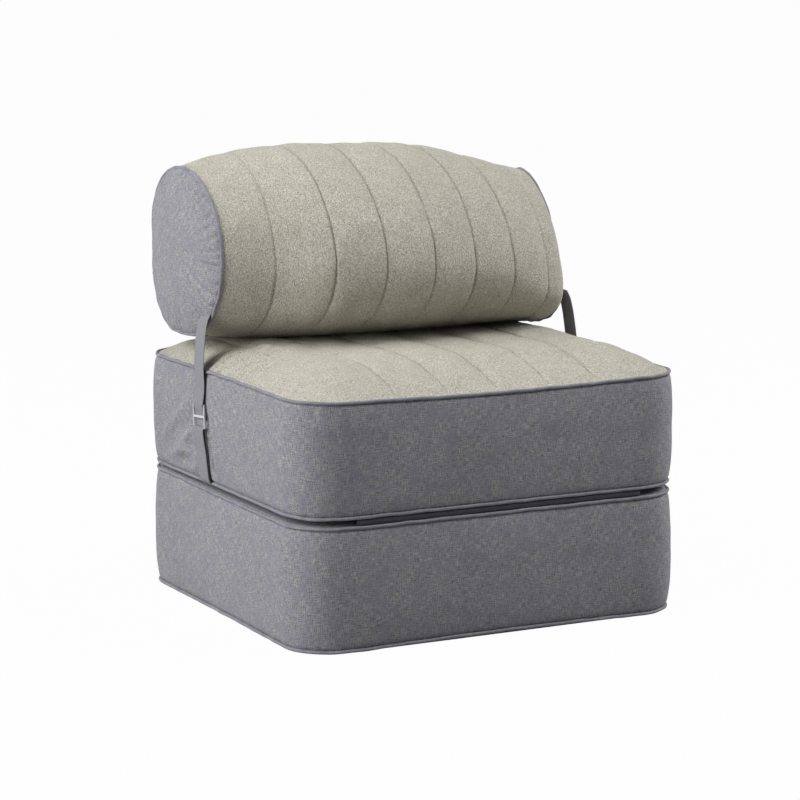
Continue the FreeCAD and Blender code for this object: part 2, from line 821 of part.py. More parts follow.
def build_seat():
    add_crowned_panel("seat_bottom_panel", seat_bottom, -1)
    add_piping("seat_bottom_piping", seat_bottom)
    add_border("seat_border", seat_bottom, seat_top)
    add_piping("seat_top_piping", seat_top)
    low = seat_bottom + inner_panel_thickness / 2 + soft_gap
    high = seat_top - inner_panel_thickness / 2 - soft_gap
    split = high - comfort_layer_thickness
    add_slab("seat_foam_core", low, split - soft_gap, border_thickness + core_clear)
    add_slab("seat_comfort_layer", split, high, border_thickness + core_clear)
    add_quilted_top()
    add_fold_strip()
    middle = (seat_bottom + seat_top) / 2
    add_zip("seat", half_depth + border_bulge, middle, half_width - zip_corner_inset)


def build_backrest():
    half_x = rest_length.number / 2 - seam_clear.number
    gap = soft_gap.number
    add_backrest_cover(half_x)
    core_inset = gap + rest_wadding_thickness.number
    add_filling("backrest_wadding", gap, core_inset, half_x - gap)
    add_filling("backrest_foam_core", core_inset + gap, None, half_x - gap)
    for word, side in (("left", -1), ("right", 1)):
        add_end_cap(word + "_end_cap", side)
        add_cap_piping(word + "_cap_piping", side)
        add_straps(word, side)
    add_back_flap()
    back = half_depth - rest_inset_from_back
    add_zip("backrest", back, rest_bottom + zip_above_sole, rest_length / 2 - rest_zip_inset)


build_base()
build_seat()
build_backrest()
document.recompute()

failed = [o.Name for o in document.Objects if "Invalid" in o.State or "Error" in o.State]
for part in parts:
    if part.Shape.isNull() or not part.Shape.isValid() or not part.Shape.Solids:
        failed.append(part.Label)
if failed:
    raise RuntimeError("failed: " + ", ".join(failed))

os.makedirs("parts", exist_ok=True)
for part in parts:
    part.Shape.exportStep("parts/" + part.Label + ".step")
print(len(parts), "parts written")
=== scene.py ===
import math

import bpy
import bmesh
import numpy as np
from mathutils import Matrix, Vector


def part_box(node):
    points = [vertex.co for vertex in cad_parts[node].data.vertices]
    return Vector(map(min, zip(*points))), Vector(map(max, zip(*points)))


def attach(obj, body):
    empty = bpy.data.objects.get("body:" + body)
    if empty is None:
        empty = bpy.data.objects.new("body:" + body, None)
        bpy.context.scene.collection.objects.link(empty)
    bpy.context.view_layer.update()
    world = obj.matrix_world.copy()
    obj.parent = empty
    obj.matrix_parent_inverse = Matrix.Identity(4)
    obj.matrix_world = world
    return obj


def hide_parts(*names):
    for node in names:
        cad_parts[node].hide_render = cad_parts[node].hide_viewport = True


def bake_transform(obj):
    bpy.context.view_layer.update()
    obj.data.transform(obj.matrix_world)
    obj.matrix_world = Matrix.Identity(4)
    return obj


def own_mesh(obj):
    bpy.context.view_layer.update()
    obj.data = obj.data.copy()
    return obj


# Convertible chair bed: two stacked foam blocks that unfold, a bolster backrest, two side straps.
# Sizes are metres, except in the tables and routes that say millimetres.
# The front is -Y, the left side is -X, and the part stands on z = 0.

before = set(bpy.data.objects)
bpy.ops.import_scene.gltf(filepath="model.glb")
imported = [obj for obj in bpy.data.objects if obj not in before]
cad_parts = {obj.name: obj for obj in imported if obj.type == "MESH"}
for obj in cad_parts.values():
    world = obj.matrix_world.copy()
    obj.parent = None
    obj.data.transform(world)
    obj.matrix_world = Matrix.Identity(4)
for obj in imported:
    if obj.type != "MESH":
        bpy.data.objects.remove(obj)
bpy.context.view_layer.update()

tau = 2 * math.pi


# Sizes read from the frame


def middle_height(node):
    low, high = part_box(node)
    return (low.z + high.z) / 2


# Names that start with rest_ belong to the backrest's bolster.
piping_radius = 0.0027
half_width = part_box("base_top_piping")[1].x - piping_radius
half_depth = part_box("base_top_piping")[1].y - piping_radius
corner_radius = 0.080
base_bottom = middle_height("base_bottom_piping")
base_top = middle_height("base_top_piping")
seat_bottom = middle_height("seat_bottom_piping")
seat_top = middle_height("seat_top_piping")
border_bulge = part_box("base_border")[1].x - half_width
cloth_thickness = 0.0022

rest_half_length = 0.33975
cover_half_length = 0.337
cap_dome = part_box("right_end_cap")[1].x - rest_half_length
rest_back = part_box("backrest_cover")[1].y

outline_length = 4 * (half_width + half_depth - 2 * corner_radius) + tau * corner_radius

strap_middle_y = 0.0625

# How far the blocks' seams wander from level
slit_opening = 0.0021
front_sag = 0.0045
left_rise = 0.0022
strap_pull = 0.0012
hem_front_rise = 0.0030
hem_side_rise = 0.0015


# Mesh helpers


def linked(name, data):
    """A new object in the scene that shows a mesh, a lamp or a camera."""
    piece = bpy.data.objects.new(name, data)
    bpy.context.scene.collection.objects.link(piece)
    return piece


class Shell:
    """Gathers grids and fans of points into one mesh with texture coordinates in metres."""

    def __init__(self):
        self.points = []
        self.faces = []
        self.places = []
        self.count = 0

    def add_points(self, points):
        points = np.asarray(points, float).reshape(-1, 3)
        first = self.count
        self.points.append(points)
        self.count += len(points)
        return first + np.arange(len(points))

    def skin(self, index, uv, wrap=(False, False)):
        if wrap[0]:
            index = np.vstack([index, index[:1]])
        if wrap[1]:
            index = np.hstack([index, index[:, :1]])
        for source, store in ((index, self.faces), (uv, self.places)):
            corners = (source[:-1, :-1], source[1:, :-1], source[1:, 1:], source[:-1, 1:])
            store.append(np.stack(corners, 2).reshape((-1, 4) + source.shape[2:]))

    def grid(self, points, uv, wrap=(False, False)):
        index = self.add_points(points).reshape(points.shape[:2])
        self.skin(index, uv, wrap)
        return index

    def fan(self, ring, centre, uv_ring, uv_centre):
        """Triangles from a closed ring of point indices to one centre point."""
        middle = self.add_points([centre])[0]
        following = np.roll(ring, -1)
        self.faces.append(np.stack([ring, following, np.full(len(ring), middle)], 1))
        centre_uv = np.tile(uv_centre, (len(ring), 1))
        self.places.append(np.stack([uv_ring, np.roll(uv_ring, -1, 0), centre_uv], 1))

    def closed_tube(self, points, uv):
        """Rings of points joined to a tube that is closed at both ends."""
        index = self.grid(points, uv, (False, True))
        for row in (0, -1):
            self.fan(index[row], points[row].mean(0), uv[row, :-1], uv[row].mean(0))

    def build(self, name):
        mesh = bpy.data.meshes.new(name)
        faces = [face for block in self.faces for face in block.tolist()]
        mesh.from_pydata(np.vstack(self.points).tolist(), [], faces)
        layer = mesh.uv_layers.new(name="UVMap")
        flat = np.concatenate([block.reshape(-1, 2) for block in self.places])
        layer.uv.foreach_set("vector", flat.astype(np.float32).ravel())
        work = bmesh.new()
        work.from_mesh(mesh)
        bmesh.ops.recalc_face_normals(work, faces=work.faces)
        work.to_mesh(mesh)
        work.free()
        mesh.shade_smooth()
        return linked(name, mesh)


def closed_tube(name, points, uv):
    """A piece that is one closed tube."""
    shell = Shell()
    shell.closed_tube(points, uv)
    return shell.build(name)


def grid_uv(u, v):
    """Texture coordinates for a grid from one row of u and one of v."""
    return np.stack(np.broadcast_arrays(u[:, None], v[None]), 2)


def run_along(points):
    """Distance along a line of points, from the first one."""
    steps = np.linalg.norm(np.diff(points, axis=0), axis=1)
    return np.concatenate([[0], np.cumsum(steps)])


def dress(piece, slot, *nodes):
    """Gives a piece the finish of its material slot, in the stead of CAD nodes."""
    piece.data.materials.append(finishes[slot])
    if nodes:
        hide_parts(*nodes)
    return piece


def place(piece, body, slot, *nodes):
    """Dresses a piece and puts it on its body."""
    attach(piece, body)
    return dress(piece, slot, *nodes)


def smooth(value):
    value = np.clip(value, 0, 1)
    return value * value * (3 - 2 * value)


def waves(points, size, seed, count=14):
    """A smooth random field between about -1 and 1 whose bumps are about size across."""
    random = np.random.RandomState(seed)
    total = np.zeros(points.shape[:-1])
    for _ in range(count):
        direction = random.normal(size=3)
        direction /= np.linalg.norm(direction)
        length = size * random.uniform(1.4, 3.2)
        total += np.cos(points @ direction * tau / length + random.uniform(0, tau))
    return total / math.sqrt(count)


def ripple(along, length, longest, shortest, seed, count=12):
    """A closed random ripple round a seam of a given length, between about -1 and 1."""
    random = np.random.RandomState(seed)
    total = np.zeros_like(along)
    for _ in range(count):
        number = random.randint(int(length / longest), int(length / shortest) + 1)
        total += np.cos(along * tau * number / length + random.uniform(0, tau))
    return total / math.sqrt(count)


def outline(along):
    """Point and outward direction on the blocks' seam outline, seen from above.
    It starts at the middle of the back and runs by the left side and the front."""
    straight_x = half_width - corner_radius
    straight_y = half_depth - corner_radius
    turn = corner_radius * tau / 4
    along = np.mod(along, outline_length)
    point = np.zeros(along.shape + (3,))
    normal = np.zeros(along.shape + (3,))
    sides = (
        (-1, 1, straight_x, 90),
        (-1, -1, 2 * straight_y, 180),
        (1, -1, 2 * straight_x, 270),
        (1, 1, 2 * straight_y, 360),
        (-1, 1, 2 * straight_x, 450),
    )
    start = 0.0
    for side_x, side_y, straight, degrees in sides:
        angle = math.radians(degrees)
        run = along - start - straight
        here = (run >= -straight) & (run <= turn + 1e-9)
        heading = angle + np.maximum(run, 0) / corner_radius
        before = np.minimum(run, 0)
        out = np.stack([np.cos(heading), np.sin(heading)], -1)
        forward = np.array([-math.sin(angle), math.cos(angle)])
        centre = np.array([side_x * straight_x, side_y * straight_y])
        normal[here, :2] = out[here]
        point[here, :2] = (centre + corner_radius * out + before[..., None] * forward)[here]
        start += straight + turn
    return point, normal


def left_along(y):
    """Distance along the outline of a place on the left side."""
    return half_width - corner_radius + tau / 4 * corner_radius + half_depth - corner_radius - y


def front_along(x):
    """Distance along the outline of a place on the front."""
    corner_start = left_along(-half_depth + corner_radius)
    return corner_start + tau / 4 * corner_radius + half_width - corner_radius + x


def hump(place, half_size):
    """1 in the middle of a side, falling to 0 at its ends."""
    return np.cos(np.clip(place / half_size, -1, 1) * math.pi / 2) ** 2


def mouth(x, y):
    """The slit between the two blocks opens a little towards the front."""
    return slit_opening * smooth((0.20 - y) / 0.26)


def mouth_below(x, y):
    return -mouth(x, y)


def seam_sag(x, y):
    """The seat's top seam hangs in the middle of the front and stands high on the left."""
    near_front = smooth((-y - 0.10) / 0.22)
    near_left = smooth((-x - 0.15) / 0.19)
    return left_rise * hump(y, half_depth) * near_left - front_sag * hump(x, half_width) * near_front


def strap_dent(x, y):
    """The strap pulls the seat's top seam down at the two sides."""
    from_strap = (y - strap_middle_y) / 0.026
    return -strap_pull * np.exp(-(from_strap ** 4)) * smooth((np.abs(x) - 0.325) / 0.02)


def seat_rim(x, y):
    return seam_sag(x, y) + strap_dent(x, y)


def hem_rise(x, y):
    """The base's bottom seam lifts a little between the corners."""
    front = hem_front_rise * hump(x, half_width) * smooth((np.abs(y) - 0.2) / 0.12)
    return front + hem_side_rise * hump(y, half_depth) * smooth((np.abs(x) - 0.2) / 0.14)


def level(x, y):
    """No lift and no fold anywhere."""
    return np.zeros_like(x)


# Materials


class Finish:
    """A material whose nodes are added one call at a time."""

    def __init__(self, name, **surface):
        self.material = bpy.data.materials.new(name)
        self.material.use_nodes = True
        self.tree = self.material.node_tree
        self.surface = self.tree.nodes["Principled BSDF"]
        for name, value in surface.items():
            socket = name.replace("_", " ").title().replace("Ior", "IOR")
            self.surface.inputs[socket].default_value = value

    def node(self, kind, sockets=(), **settings):
        made = self.tree.nodes.new(kind)
        for key, value in settings.items():
            setattr(made, key, value)
        for socket, value in dict(sockets).items():
            if isinstance(value, bpy.types.NodeSocket):
                self.tree.links.new(value, made.inputs[socket])
            else:
                made.inputs[socket].default_value = value
        return made

    def math(self, operation, *values):
        return self.node("ShaderNodeMath", enumerate(values), operation=operation).outputs[0]

    def coordinates(self, kind, scale=(1, 1, 1)):
        source = self.node("ShaderNodeTexCoord").outputs[kind]
        return self.node("ShaderNodeMapping", {"Vector": source, "Scale": scale}).outputs[0]

    def noise(self, vector, scale, detail=2.0, roughness=0.5):
        sockets = {"Vector": vector, "Scale": scale, "Detail": detail, "Roughness": roughness}
        return self.node("ShaderNodeTexNoise", sockets).outputs["Fac"]

    def ramp(self, value, *stops):
        made = self.node("ShaderNodeValToRGB", {"Fac": value})
        while len(made.color_ramp.elements) < len(stops):
            made.color_ramp.elements.new(0.5)
        for element, (position, colour) in zip(made.color_ramp.elements, stops):
            element.position = position
            element.color = colour if len(colour) == 4 else tuple(colour) + (1,)
        return made.outputs[0]

    def mix(self, blend, share, first, second):
        sockets = {0: share, 6: first, 7: second}
        return self.node("ShaderNodeMix", sockets, data_type="RGBA", blend_type=blend).outputs[2]

    def feed(self, socket, source):
        self.tree.links.new(source, self.surface.inputs[socket])

    def bump(self, height, distance, strength):
        sockets = {"Height": height, "Distance": distance, "Strength": strength}
        self.feed("Normal", self.node("ShaderNodeBump", sockets).outputs[0])


def tone(red, green, blue):
    """A colour given as 0 to 255 screen values, in linear light."""
    screen = np.array([red, green, blue]) / 255
    linear = np.where(screen <= 0.04045, screen / 12.92, ((screen + 0.055) / 1.055) ** 2.4)
    return tuple(linear.tolist()) + (1.0,)


def woven(name, light, dark, blue, pitch=0.0016):
    """Woven melange cloth: a plain weave of flecked threads, in texture coordinates."""
    thread = 1 / 0.0016
    fleck_length = 1 / 0.011
    cloth = Finish(name, roughness=0.92, sheen_weight=0.12, sheen_roughness=0.6, specular_ior_level=0.25)
    parts = cloth.node("ShaderNodeSeparateXYZ", {"Vector": cloth.coordinates("UV")})
    across = cloth.math("SINE", cloth.math("MULTIPLY", parts.outputs[0], math.pi / pitch))
    along = cloth.math("SINE", cloth.math("MULTIPLY", parts.outputs[1], math.pi / pitch))
    weave = cloth.math("MULTIPLY", across, along)
    warp = cloth.noise(cloth.coordinates("UV", (thread, fleck_length, 1)), 1.0, 2.0, 0.6)
    weft = cloth.noise(cloth.coordinates("UV", (fleck_length, thread, 1)), 1.0, 2.0, 0.6)
    over = cloth.math("GREATER_THAN", weave, 0.0)
    threads = cloth.node("ShaderNodeMix", {0: over, 2: warp, 3: weft}, data_type="FLOAT").outputs[0]
    fleck = cloth.ramp(threads, (0.36, dark), (0.64, light))
    patch = cloth.noise(cloth.coordinates("Object"), 55.0, 3.0, 0.6)
    blue_share = cloth.ramp(patch, (0.38, (0, 0, 0)), (0.66, (0.55, 0.55, 0.55)))
    tinted = cloth.mix("MIX", blue_share, fleck, blue)
    shade = cloth.noise(cloth.coordinates("Object"), 7.0, 2.0, 0.5)
    soft = cloth.ramp(shade, (0.3, (0.93, 0.93, 0.93)), (0.7, (1, 1, 1)))
    cloth.feed("Base Color", cloth.mix("MULTIPLY", 1.0, tinted, soft))
    height = cloth.math("ADD", cloth.math("MULTIPLY", weave, 0.5), threads)
    cloth.bump(height, 0.0005, 0.55)
    return cloth.material


def plush(name, light, dark):
    """Short-pile plush: a fine speckle of tufts with broader brushed patches."""
    pile = Finish(name, roughness=0.95, sheen_weight=0.30, sheen_roughness=0.45, specular_ior_level=0.1)
    pile.surface.inputs["Sheen Tint"].default_value = tone(235, 232, 220)
    solid = pile.coordinates("Object")
    tuft = pile.noise(solid, 480.0, 3.0, 0.62)
    stroke = pile.noise(pile.coordinates("Object", (1.0, 0.45, 0.45)), 760.0, 2.0, 0.6)
    patch = pile.noise(solid, 48.0, 3.0, 0.55)
    broad = pile.noise(solid, 9.0, 2.0, 0.5)
    speckle = pile.math("ADD", pile.math("MULTIPLY", tuft, 0.6), pile.math("MULTIPLY", stroke, 0.4))
    base = pile.ramp(speckle, (0.40, dark), (0.60, light))
    worn = pile.ramp(patch, (0.3, (0.90, 0.90, 0.89)), (0.7, (1, 1, 1)))
    wide = pile.ramp(broad, (0.3, (0.95, 0.95, 0.94)), (0.7, (1, 1, 1)))
    pile.feed("Base Color", pile.mix("MULTIPLY", 1.0, pile.mix("MULTIPLY", 1.0, base, worn), wide))
    pile.bump(speckle, 0.006, 0.9)
    return pile.material


def metal(name, colour, rough):
    """Plated metal with faint polishing marks."""
    plate = Finish(name, metallic=1.0)
    marks = plate.noise(plate.coordinates("Object", (1, 1, 6)), 900.0, 3.0, 0.6)
    clouds = plate.noise(plate.coordinates("Object"), 120.0)
    plate.feed("Base Color", plate.mix("MIX", clouds, colour, tone(200, 200, 204)))
    plate.feed("Roughness", plate.math("MULTIPLY_ADD", marks, rough * 0.5, rough * 0.75))
    plate.bump(marks, 0.00005, 0.3)
    return plate.material


def ribbed(name, light, dark, pitch):
    """Webbing or tape: cords that run along it, with fine picks across."""
    band = Finish(name, roughness=0.85, sheen_weight=0.1, specular_ior_level=0.3)
    parts = band.node("ShaderNodeSeparateXYZ", {"Vector": band.coordinates("UV")})
    cords = band.math("SINE", band.math("MULTIPLY", parts.outputs[0], tau / pitch))
    picks = band.math("SINE", band.math("MULTIPLY", parts.outputs[1], tau / (pitch * 0.7)))
    height = band.math("ADD", cords, band.math("MULTIPLY", picks, 0.5))
    fleck = band.noise(band.coordinates("UV", (900, 250, 1)), 1.0, 2.0, 0.6)
    # The cords' height lightens their tops and darkens the grooves between them: painted shade, over the
    # threads' own flecks.
    shade = band.math("ADD", band.math("MULTIPLY", height, 0.12), fleck)
    band.feed("Base Color", band.ramp(shade, (0.25, dark), (0.8, light)))
    band.bump(height, 0.0003, 0.6)
    return band.material


def foamed(name, light, dark, cell):
    """Open-cell foam or loose wadding."""
    core = Finish(name, roughness=1.0, specular_ior_level=0.1)
    cells = core.node("ShaderNodeTexVoronoi", {"Vector": core.coordinates("Object"), "Scale": 1 / cell})
    # The colour darkens towards the middle of each cell, where the bump sinks it: painted shade in the
    # hollows.
    core.feed("Base Color", core.ramp(cells.outputs["Distance"], (0.1, dark), (0.6, light)))
    core.bump(cells.outputs["Distance"], cell * 0.5, 0.6)
    return core.material


finishes = {
    "grey_weave": woven("grey_weave", tone(182, 180, 182), tone(98, 97, 101), tone(128, 129, 145)),
    "grey_piping": woven(
        "grey_piping", tone(166, 166, 173), tone(122, 122, 130), tone(116, 118, 132), 0.0011
    ),
    "greige_plush": plush("greige_plush", tone(240, 236, 224), tone(166, 162, 149)),
    "grey_webbing": ribbed("grey_webbing", tone(158, 157, 162), tone(118, 118, 124), 0.0022),
    "bright_metal": metal("bright_metal", tone(232, 232, 236), 0.16),
    "dark_metal": metal("dark_metal", tone(150, 150, 156), 0.3),
    "zip_cloth": ribbed("zip_cloth", tone(120, 121, 130), tone(84, 85, 94), 0.0012),
    "dark_weave": ribbed("dark_weave", tone(78, 79, 86), tone(46, 47, 53), 0.0015),
    "wadding": foamed("wadding", tone(244, 243, 240), tone(214, 213, 210), 0.004),
    "foam": foamed("foam", tone(238, 226, 186), tone(208, 190, 140), 0.0016),
}


# Seams and side covers of the two blocks


def cord(shell, centre, side, lift, radius, turns=10):
    """A closed cord round a ring of points; side and lift are two directions square to it."""
    angles = np.arange(turns) * tau / turns
    aside = np.cos(angles)[:, None] * side[:, None]
    ring = aside + np.sin(angles)[:, None] * lift[:, None]
    run = run_along(np.vstack([centre, centre[:1]]))
    uv = grid_uv(run, np.linspace(0, tau * radius, turns + 1))
    shell.grid(centre[:, None] + radius * ring, uv, (True, True))


def seam_cord(name, body, height, shift, node, seed):
    """The piping round a block at one height; shift(x, y) lifts it."""
    along = np.arange(900) * outline_length / 900
    proud = 0.0004
    unevenness = 0.0003
    waviness = 0.00035
    point, normal = outline(along)
    point[:, 2] = height + shift(point[:, 0], point[:, 1])
    point += normal * (proud + unevenness * ripple(along, outline_length, 0.12, 0.03, seed)[:, None])
    point[:, 2] += waviness * ripple(along, outline_length, 0.25, 0.05, seed + 1)
    lift = np.tile([0.0, 0.0, 1.0], (len(along), 1))
    shell = Shell()
    cord(shell, point, normal, lift, piping_radius)
    place(shell.build(name), body, "grey_piping", node)


def ridge(along, height, start, end, width, depth):
    """A fold from one place to another, each (along, height): a soft bump that fades at its ends."""
    run = np.array([end[0] - start[0], end[1] - start[1]])
    length = np.hypot(*run)
    run /= length
    offset_a, offset_h = along - start[0], height - start[1]
    share = (offset_a * run[0] + offset_h * run[1]) / length
    aside = offset_a * -run[1] + offset_h * run[0]
    ends = smooth(share / 0.25) * smooth((1 - share) / 0.25)
    return depth * ends * np.exp(-((aside / width) ** 2))


# Folds in the seat's left side, in millimetres: y and z of the start, y and z of the end, width and
# depth. All but the last two are drawn towards the strap; those two lie along the strap's front edge.
left_folds = (
    (236, 258, 80, 362, 13, 5.75),
    (170, 243, 86, 305, 12, 6.25),
    (205, 236, 100, 268, 8, 3.5),
    (148, 250, 92, 262, 6, 2.5),
    (120, 226, 78, 240, 7, 2.75),
    (196, 318, 96, 386, 10, 3.0),
    (128, 300, 88, 352, 8, 3.0),
    (36, 345, 10, 222, 5.5, -6.8),
    (20, 352, -6, 226, 11, 2.2),
)

# Creases in the seat's front near its left corner: x and z in the stead of y and z
front_creases = (
    (-276, 325, -270, 232, 7, -1.6),
    (-330, 402, -326, 372, 6, -2.2),
    (-300, 402, -296, 372, 6, -1.5),
    (-262, 402, -258, 372, 6, -1.0),
)


def seat_folds(along, height):
    """The folds that the strap and the front corner draw in the seat's side cover."""
    total = np.zeros_like(along)
    for table, place_of in ((left_folds, left_along), (front_creases, front_along)):
        for row in table:
            start, start_z, end, end_z, width, depth = np.array(row) / 1000
            ends = (place_of(start), start_z), (place_of(end), end_z)
            total += ridge(along, height, *ends, width, depth)
    return total


def tape_face(tape):
    """How far back the cloth lies under a zip tape."""
    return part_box(tape)[0].y + 0.0002


def tape_bed(tape, solid):
    """1 where the cover lies under a zip tape at the back, 0 away from it."""
    low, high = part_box(tape)
    side_margin = 0.0035
    end_margin = 0.006
    beside = (high.z - low.z) / 2 + side_margin - np.abs(solid[..., 2] - (low.z + high.z) / 2)
    along = high.x + end_margin - np.abs(solid[..., 0])
    return smooth(beside / 0.003) * smooth(along / 0.004) * (solid[..., 1] > 0.22)


# How the woven side covers depart from their seams' outline
side_bulge = 0.93 * border_bulge
side_lumps = 0.0011
side_dimples = 0.0005
seam_gap = 0.0010
seam_pucker = 0.00075
seam_tuck = 0.0024


def side_cover(name, body, low, high, low_shift, high_shift, folds, node, seed):
    """The woven band round a block: bulged, a little uneven, with small puckers at both seams."""
    low += seam_gap
    high -= seam_gap
    columns, rows = 880, 54
    along = np.arange(columns) * outline_length / columns
    share = np.linspace(0, 1, rows)
    share = 0.55 * share + 0.45 * (1 - np.cos(math.pi * share)) / 2
    point, normal = outline(along)
    bottom = low + low_shift(point[:, 0], point[:, 1])
    top = high + high_shift(point[:, 0], point[:, 1])
    height = bottom[:, None] + (top - bottom)[:, None] * share
    wide = np.broadcast_to(along[:, None], height.shape)
    plan = np.broadcast_to(point[:, None, :2], height.shape + (2,))
    solid = np.concatenate([plan, height[..., None]], 2)
    swell = (1 - np.abs(2 * share - 1) ** 2.6) ** 0.62
    uneven = side_lumps * waves(solid, 0.075, seed) + side_dimples * waves(solid, 0.028, seed + 1)
    offset = (side_bulge + uneven) * swell - 0.0006
    from_bottom = share * (high - low)
    from_top = (1 - share) * (high - low)
    for where, number in ((from_bottom, 2), (from_top, 4)):
        fine = ripple(wide, outline_length, 0.030, 0.009, seed + number)
        slow = 0.55 + 0.45 * ripple(wide, outline_length, 0.5, 0.09, seed + number + 1)
        offset += seam_pucker * fine * slow * np.exp(-where / 0.011) * smooth(where / 0.002)
        offset -= seam_tuck * np.exp(-((where / 0.0042) ** 2))
    offset += folds(wide, height) * smooth(np.minimum(from_bottom, from_top) / 0.012)
    tape = body + "_zip_tape"
    offset += (np.minimum(offset, tape_face(tape) - half_depth) - offset) * tape_bed(tape, solid)
    outer = solid + normal[:, None] * offset[..., None]
    inner = solid - normal[:, None] * cloth_thickness
    points = np.concatenate([outer, inner[:, ::-1]], 1)
    around = np.append(along, outline_length)
    climb = np.concatenate([share * (high - low), (2 - share[::-1]) * (high - low), [2 * (high - low)]])
    shell = Shell()
    shell.grid(points, grid_uv(around, climb), (True, True))
    piece = place(shell.build(name), body, "grey_weave", node)


def rounded_rows(columns_x, rows, inset=0.0):
    """Points of a grid over the blocks' outline whose first and last rows lie on the outline."""
    straight_y = half_depth - corner_radius
    beyond = np.clip((np.abs(columns_x) - (half_width - corner_radius)) / corner_radius, 0, 1)
    reach = straight_y + corner_radius * np.sqrt(np.clip(1 - beyond ** 2, 0, 1))
    share = np.linspace(-1, 1, rows)
    x = np.broadcast_to(columns_x[:, None], (len(columns_x), rows)).copy()
    y = reach[:, None] * share[None, :]
    shrink_x = (half_width - inset) / half_width
    shrink_y = (half_depth - inset) / half_depth
    return x * shrink_x, y * shrink_y, reach[:, None] * shrink_y


def panel_columns(step, corner_steps):
    """Column places over the width: even in the middle, closing up round the corners."""
    middle = half_width - corner_radius
    even = np.linspace(-middle, middle, int(round(2 * middle / step)) + 1)
    angles = np.linspace(0, math.pi / 2, corner_steps + 1)[1:]
    corner = middle + corner_radius * np.sin(angles)
    return np.concatenate([-corner[::-1], even, corner])


def crown(distance, width):
    return 1 - (1 - np.minimum(distance, width) / width) ** 2


def rim(grid):
    """The border of a grid, once round."""
    return np.concatenate([grid[:, 0], grid[-1, 1:], grid[-2::-1, -1], grid[0, -2:0:-1]])


def closed_panel(name, x, y, upper, lower):
    """Two sheets over the same outline, given by their heights, joined round their rims."""
    shell = Shell()
    uv = np.stack([x, y], 2)
    top = shell.grid(np.stack([x, y, upper], 2), uv)
    bottom = shell.grid(np.stack([x, y, lower], 2)[::-1], uv[::-1])[::-1]
    rim_uv = np.stack([rim(uv), rim(uv)], 1)
    shell.skin(np.stack([rim(top), rim(bottom)], 1), np.concatenate([rim_uv, rim_uv[:1]]), (True, False))
    return shell.build(name)


panel_gap = 0.0024
panel_bulge = 0.0032
panel_depth = 0.0008


def flat_cover(name, body, seam, up, slot, node, seed, shift, bulge=panel_bulge, depth=panel_depth):
    """A thin padded panel that closes a block above (up = 1) or below (up = -1) a seam."""
    x, y, reach = rounded_rows(panel_columns(0.014, 9), 48, 0.0024)
    height = seam + up * panel_gap
    rise = crown(half_width - np.abs(x), 0.075) * crown(reach - np.abs(y), 0.075)
    dimples = 0.0006 * waves(np.stack([x, y, np.full_like(x, height)], 2), 0.05, seed)
    lift = shift(x, y)
    upper = height + (up * bulge + dimples) * rise + lift
    piece = place(closed_panel(name, x, y, upper, seam - up * depth + lift), body, slot, node)


def foam_block(name, body, slot, node, seed):
    """A foam slab inside a block's cover, with softened edges and a slightly uneven skin."""
    low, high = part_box(node)
    along = np.arange(360) * outline_length / 360
    point, _ = outline(along)
    shrink = np.array([high.x / half_width, high.y / half_depth])
    edge = 0.010
    turn = np.linspace(0, math.pi / 2, 7)
    inset = np.concatenate([edge * (1 - np.sin(turn)), edge * (1 - np.cos(turn))])
    heights = np.concatenate([low.z + edge * (1 - np.cos(turn)), high.z - edge * (1 - np.sin(turn))])
    plan = point[:, None, :2] * shrink * (1 - inset[None, :, None] / half_depth)
    points = np.concatenate([plan, np.broadcast_to(heights[None, :, None], plan.shape[:2] + (1,))], 2)
    points = points + 0.0004 * waves(points, 0.03, seed)[..., None]
    uv = grid_uv(np.append(along, outline_length), heights)
    block = closed_tube(name, points.transpose(1, 0, 2), uv.transpose(1, 0, 2))
    return place(block, body, slot, node)


# The seat's quilted plush top

seat_stitch_pitch = 0.092
seat_crown = 0.0365
seat_crown_side = 0.105
seat_crown_front = 0.165
seat_puff = 0.0040
seat_groove = 0.0020
seat_lip = 0.00105
groove_width = 0.0020


def from_stitching(x, pitch):
    """Distance to the nearest stitched line; the lines are a pitch apart, one of them at 0."""
    return np.abs(np.mod(x / pitch + 0.5, 1.0) - 0.5) * pitch


def channel_arch(phase):
    """The round swell of a sewn channel: 0 at its line, 1 in its middle."""
    return np.sqrt(np.clip(1 - (1 - phase) ** 2, 0, 1))


def seat_surface(x, y, reach):
    """Height of the plush over the seat's top seam."""
    deep = crown(half_width - np.abs(x), seat_crown_side) * crown(reach - np.abs(y), seat_crown_front)
    from_line = from_stitching(x, seat_stitch_pitch)
    phase = 2 * from_line / seat_stitch_pitch
    phase = np.where(np.abs(x) > 3 * seat_stitch_pitch, 0.5 * phase, phase)
    puff = seat_puff * (0.25 + 0.75 * deep) * channel_arch(phase)
    sewn = smooth(np.minimum(half_width - np.abs(x), reach - np.abs(y)) / 0.02)
    groove = -seat_groove * np.exp(-((from_line / groove_width) ** 2)) * (np.abs(x) < 0.3) * sewn
    return seat_crown * deep + puff * sewn + groove


# Folds in the plush that fan out from the left strap: three places (x, y), a width and a depth
plush_folds = (
    ((-0.346, 0.052), (-0.300, 0.062), (-0.235, 0.071), 0.0040, 0.0030),
    ((-0.346, 0.030), (-0.305, 0.026), (-0.262, 0.006), 0.0038, 0.0066),
    ((-0.344, 0.006), (-0.318, -0.012), (-0.286, -0.030), 0.0038, 0.0062),
    ((-0.345, -0.034), (-0.322, -0.050), (-0.294, -0.066), 0.0036, 0.0052),
    ((-0.344, -0.066), (-0.330, -0.082), (-0.306, -0.100), 0.0036, 0.0040),
)


